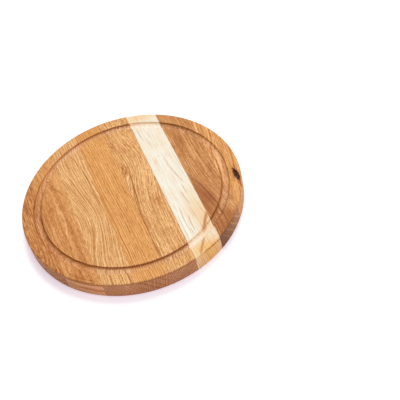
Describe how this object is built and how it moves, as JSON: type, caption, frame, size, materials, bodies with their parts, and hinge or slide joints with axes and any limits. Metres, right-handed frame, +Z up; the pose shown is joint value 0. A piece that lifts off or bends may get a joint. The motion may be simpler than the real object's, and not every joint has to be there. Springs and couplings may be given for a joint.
{
  "type": "round chopping block",
  "caption": "Round oak chopping block, edge-glued from upright staves, with a coved juice groove round the cutting face and eased rim edges.",
  "frame": {"origin": "centre of the underside, on the surface the block stands on", "axes": "+Z up through the cutting face, Y along the grain, X across the staves with the sapwood stave on +X"},
  "size_m": [0.3, 0.3, 0.025],
  "materials": {
    "oak_brown": "oiled oak, brown",
    "oak_amber": "oiled oak, amber",
    "oak_honey": "oiled oak, honey",
    "oak_gold": "oiled oak, golden",
    "oak_sapwood": "oiled oak, sapwood",
    "glue": "cured wood glue film"
  },
  "bodies": {
    "root": {"left_rim_stave": "oak_brown", "stave_2": "oak_amber", "stave_3": "oak_gold", "stave_4": "oak_honey", "stave_5": "oak_amber", "stave_6": "oak_sapwood", "stave_7": "oak_brown", "right_rim_stave": "oak_gold", "glue_line_1": "glue", "glue_line_2": "glue", "glue_line_3": "glue", "glue_line_4": "glue", "glue_line_5": "glue", "glue_line_6": "glue", "glue_line_7": "glue"}
  },
  "joints": []
}
